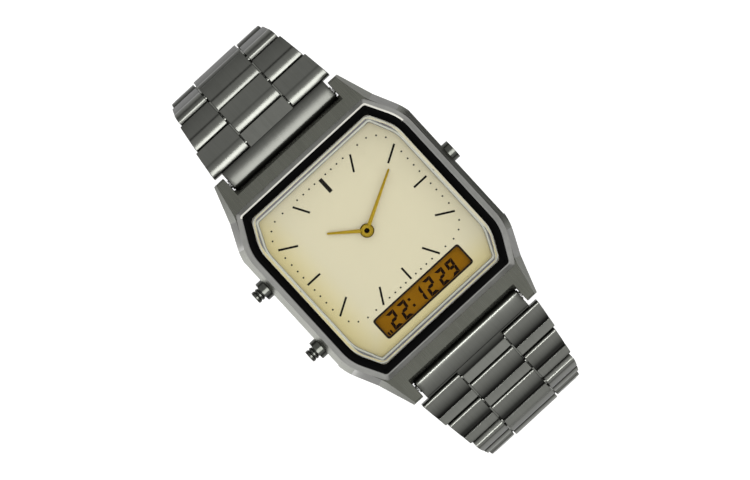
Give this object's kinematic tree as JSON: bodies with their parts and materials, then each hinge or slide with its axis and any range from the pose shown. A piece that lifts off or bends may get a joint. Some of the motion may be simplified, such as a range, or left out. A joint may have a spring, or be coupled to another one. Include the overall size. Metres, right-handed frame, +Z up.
{
  "type": "ana digi watch",
  "caption": "Slim eight-sided wristwatch with hour and minute hands over a dial, a small digital display window, three side pushers and a hinged steel bracelet with a folding clasp",
  "frame": {"origin": "on the flat outer face of the clasp cover, under the middle of the case", "axes": "+Z up through the case with the dial facing +Z, +Y towards 12 o'clock, +X towards 3 o'clock"},
  "size_m": [0.0326, 0.0642, 0.0399],
  "materials": {
    "case_steel": "brushed top, polished bevels",
    "band_steel": "brushed across, polished front edges",
    "clasp_steel": "brushed lengthwise",
    "back_steel": "circular satin",
    "pin_steel": "turned, bright",
    "push_steel": "turned and polished",
    "crystal_glass": "clear, polished, bevelled edge",
    "gasket_black": "glossy black",
    "ring_silver": "satin silver",
    "dial_champagne": "champagne, fine sunray",
    "display_amber": "smooth amber with dark digits",
    "strip_rubber": "soft, layered",
    "hand_gold": "gilt, polished",
    "wheel_brass": "stamped and gilt",
    "module_plastic": "moulded, matt",
    "board_green": "solder mask",
    "cell_steel": "pressed can",
    "clip_steel": "spring strip",
    "coil_copper": "enamelled wire",
    "can_silver": "drawn can",
    "chip_black": "moulded",
    "seal_rubber": "moulded",
    "spring_steel": "drawn wire"
  },
  "bodies": {
    "case": {"case_middle": "case_steel", "case_back": "back_steel", "case_back_screws": "pin_steel", "case_back_seal": "seal_rubber", "crystal_gasket": "gasket_black", "crystal": "crystal_glass", "dial_ring": "ring_silver", "dial_plate": "dial_champagne", "display_glass": "display_amber", "connector_strips": "strip_rubber", "module_frame": "module_plastic", "circuit_board": "board_green", "cell": "cell_steel", "cell_clip": "clip_steel", "motor_coil": "coil_copper", "quartz_can": "can_silver", "driver_chip": "chip_black", "pusher_collars": "push_steel", "spring_bars": "pin_steel", "pusher_spring_upper_left": "spring_steel", "pusher_spring_lower_left": "spring_steel", "pusher_spring_right": "spring_steel"},
    "minute": {"minute_arbor": "wheel_brass", "minute_hand": "hand_gold"},
    "motion": {"motion_wheel": "wheel_brass"},
    "hour": {"hour_wheel": "wheel_brass", "hour_hand": "hand_gold"},
    "pusher_upper_left": {"pusher_upper_left": "push_steel"},
    "pusher_lower_left": {"pusher_lower_left": "push_steel"},
    "pusher_right": {"pusher_right": "push_steel"},
    "end_link_12": {"end_link_12": "band_steel"},
    "link_12_1": {"link_12_1": "band_steel"},
    "link_12_2": {"link_12_2": "band_steel"},
    "link_12_3": {"link_12_3": "band_steel"},
    "link_12_4": {"link_12_4": "band_steel"},
    "link_12_5": {"link_12_5": "band_steel"},
    "link_12_6": {"link_12_6": "band_steel"},
    "link_12_7": {"link_12_7": "band_steel"},
    "link_12_8": {"link_12_8": "band_steel"},
    "link_12_9": {"link_12_9": "band_steel"},
    "link_12_10": {"link_12_10": "band_steel"},
    "link_12_11": {"link_12_11": "band_steel", "clasp_bar": "pin_steel"},
    "end_link_6": {"end_link_6": "band_steel"},
    "link_6_1": {"link_6_1": "band_steel"},
    "link_6_2": {"link_6_2": "band_steel"},
    "link_6_3": {"link_6_3": "band_steel"},
    "link_6_4": {"link_6_4": "band_steel"},
    "link_6_5": {"link_6_5": "band_steel"},
    "link_6_6": {"link_6_6": "band_steel"},
    "link_6_7": {"link_6_7": "band_steel"},
    "link_6_8": {"link_6_8": "band_steel"},
    "link_6_9": {"link_6_9": "band_steel"},
    "link_6_10": {"link_6_10": "band_steel"},
    "link_6_11": {"link_6_11": "band_steel"},
    "inner_blade": {"inner_blade": "clasp_steel", "blade_pin": "pin_steel"},
    "middle_blade": {"middle_blade": "clasp_steel"},
    "cover": {"clasp_cover": "clasp_steel", "cover_rivets": "pin_steel"}
  },
  "joints": [
    {"name": "press_upper_left", "type": "slide", "parent": "case", "child": "pusher_upper_left", "axis": [1, 0, 0], "range_m": [0, 0.0006], "stiffness_N_per_m": 400, "springref_m": -0.002, "deforming": ["pusher_spring_upper_left"]},
    {"name": "press_lower_left", "type": "slide", "parent": "case", "child": "pusher_lower_left", "axis": [1, 0, 0], "range_m": [0, 0.0006], "stiffness_N_per_m": 400, "springref_m": -0.002, "deforming": ["pusher_spring_lower_left"]},
    {"name": "press_right", "type": "slide", "parent": "case", "child": "pusher_right", "axis": [-1, 0, 0], "range_m": [0, 0.0006], "stiffness_N_per_m": 400, "springref_m": -0.002, "deforming": ["pusher_spring_right"]},
    {"name": "minute_turn", "type": "hinge", "parent": "case", "child": "minute", "pos_m": [0, 0.00163, 0.03482], "axis": [0, 0, -1], "continuous": true},
    {"name": "motion_turn", "type": "hinge", "parent": "case", "child": "motion", "pos_m": [-0.0036, 0.00163, 0.03482], "axis": [0, 0, -1], "continuous": true},
    {"name": "hour_turn", "type": "hinge", "parent": "case", "child": "hour", "pos_m": [0, 0.00163, 0.03482], "axis": [0, 0, -1], "continuous": true},
    {"name": "hinge_12_0", "type": "hinge", "parent": "case", "child": "end_link_12", "pos_m": [0, 0.0182, 0.03452], "axis": [1, 0, 0], "range_deg": [0, 25]},
    {"name": "hinge_12_1", "type": "hinge", "parent": "end_link_12", "child": "link_12_1", "pos_m": [0, 0.02112, 0.03411], "axis": [1, 0, 0], "range_deg": [0, 11]},
    {"name": "hinge_12_2", "type": "hinge", "parent": "link_12_1", "child": "link_12_2", "pos_m": [0, 0.02525, 0.03293], "axis": [1, 0, 0], "range_deg": [0, 14]},
    {"name": "hinge_12_3", "type": "hinge", "parent": "link_12_2", "child": "link_12_3", "pos_m": [0, 0.02909, 0.03097], "axis": [1, 0, 0], "range_deg": [0, 44]},
    {"name": "hinge_12_4", "type": "hinge", "parent": "link_12_3", "child": "link_12_4", "pos_m": [0, 0.0307, 0.02699], "axis": [1, 0, 0], "range_deg": [0, 21]},
    {"name": "hinge_12_5", "type": "hinge", "parent": "link_12_4", "child": "link_12_5", "pos_m": [0, 0.031, 0.0227], "axis": [1, 0, 0], "range_deg": [0, 8]},
    {"name": "hinge_12_6", "type": "hinge", "parent": "link_12_5", "child": "link_12_6", "pos_m": [0, 0.03092, 0.0184], "axis": [1, 0, 0], "range_deg": [0, 8]},
    {"name": "hinge_12_7", "type": "hinge", "parent": "link_12_6", "child": "link_12_7", "pos_m": [0, 0.03047, 0.01412], "axis": [1, 0, 0], "range_deg": [0, 15]},
    {"name": "hinge_12_8", "type": "hinge", "parent": "link_12_7", "child": "link_12_8", "pos_m": [0, 0.02914, 0.01003], "axis": [1, 0, 0], "range_deg": [0, 19]},
    {"name": "hinge_12_9", "type": "hinge", "parent": "link_12_8", "child": "link_12_9", "pos_m": [0, 0.02674, 0.00647], "axis": [1, 0, 0], "range_deg": [0, 21]},
    {"name": "hinge_12_10", "type": "hinge", "parent": "link_12_9", "child": "link_12_10", "pos_m": [0, 0.02335, 0.00382], "axis": [1, 0, 0], "range_deg": [0, 21]},
    {"name": "hinge_12_11", "type": "hinge", "parent": "link_12_10", "child": "link_12_11", "pos_m": [0, 0.01931, 0.00235], "axis": [1, 0, 0], "range_deg": [0, 17]},
    {"name": "hinge_6_0", "type": "hinge", "parent": "case", "child": "end_link_6", "pos_m": [0, -0.0182, 0.03452], "axis": [-1, 0, 0], "range_deg": [0, 25]},
    {"name": "hinge_6_1", "type": "hinge", "parent": "end_link_6", "child": "link_6_1", "pos_m": [0, -0.02112, 0.03411], "axis": [-1, 0, 0], "range_deg": [0, 11]},
    {"name": "hinge_6_2", "type": "hinge", "parent": "link_6_1", "child": "link_6_2", "pos_m": [0, -0.02525, 0.03293], "axis": [-1, 0, 0], "range_deg": [0, 14]},
    {"name": "hinge_6_3", "type": "hinge", "parent": "link_6_2", "child": "link_6_3", "pos_m": [0, -0.02909, 0.03097], "axis": [-1, 0, 0], "range_deg": [0, 44]},
    {"name": "hinge_6_4", "type": "hinge", "parent": "link_6_3", "child": "link_6_4", "pos_m": [0, -0.0307, 0.02699], "axis": [-1, 0, 0], "range_deg": [0, 21]},
    {"name": "hinge_6_5", "type": "hinge", "parent": "link_6_4", "child": "link_6_5", "pos_m": [0, -0.031, 0.0227], "axis": [-1, 0, 0], "range_deg": [0, 8]},
    {"name": "hinge_6_6", "type": "hinge", "parent": "link_6_5", "child": "link_6_6", "pos_m": [0, -0.03092, 0.0184], "axis": [-1, 0, 0], "range_deg": [0, 8]},
    {"name": "hinge_6_7", "type": "hinge", "parent": "link_6_6", "child": "link_6_7", "pos_m": [0, -0.03047, 0.01412], "axis": [-1, 0, 0], "range_deg": [0, 15]},
    {"name": "hinge_6_8", "type": "hinge", "parent": "link_6_7", "child": "link_6_8", "pos_m": [0, -0.02914, 0.01003], "axis": [-1, 0, 0], "range_deg": [0, 19]},
    {"name": "hinge_6_9", "type": "hinge", "parent": "link_6_8", "child": "link_6_9", "pos_m": [0, -0.02674, 0.00647], "axis": [-1, 0, 0], "range_deg": [0, 21]},
    {"name": "hinge_6_10", "type": "hinge", "parent": "link_6_9", "child": "link_6_10", "pos_m": [0, -0.02335, 0.00382], "axis": [-1, 0, 0], "range_deg": [0, 21]},
    {"name": "hinge_6_11", "type": "hinge", "parent": "link_6_10", "child": "link_6_11", "pos_m": [0, -0.01931, 0.00235], "axis": [-1, 0, 0], "range_deg": [0, 17]},
    {"name": "blade_swing", "type": "hinge", "parent": "link_6_11", "child": "inner_blade", "pos_m": [0, -0.01503, 0.0019], "axis": [-1, 0, 0], "range_deg": [0, 90]},
    {"name": "blade_fold", "type": "hinge", "parent": "inner_blade", "child": "middle_blade", "pos_m": [0, 0.00903, 0.00175], "axis": [1, 0, 0], "range_deg": [0, 140]},
    {"name": "cover_turn", "type": "hinge", "parent": "middle_blade", "child": "cover", "pos_m": [0, -0.01153, 0.00175], "axis": [-1, 0, 0], "range_deg": [0, 140]}
  ],
  "couplings": [
    {"joint": "motion_turn", "follows": "minute_turn", "ratio": -0.33333},
    {"joint": "hour_turn", "follows": "minute_turn", "ratio": 0.083333},
    {"joint": "cover_turn", "follows": "blade_fold", "ratio": 1}
  ]
}
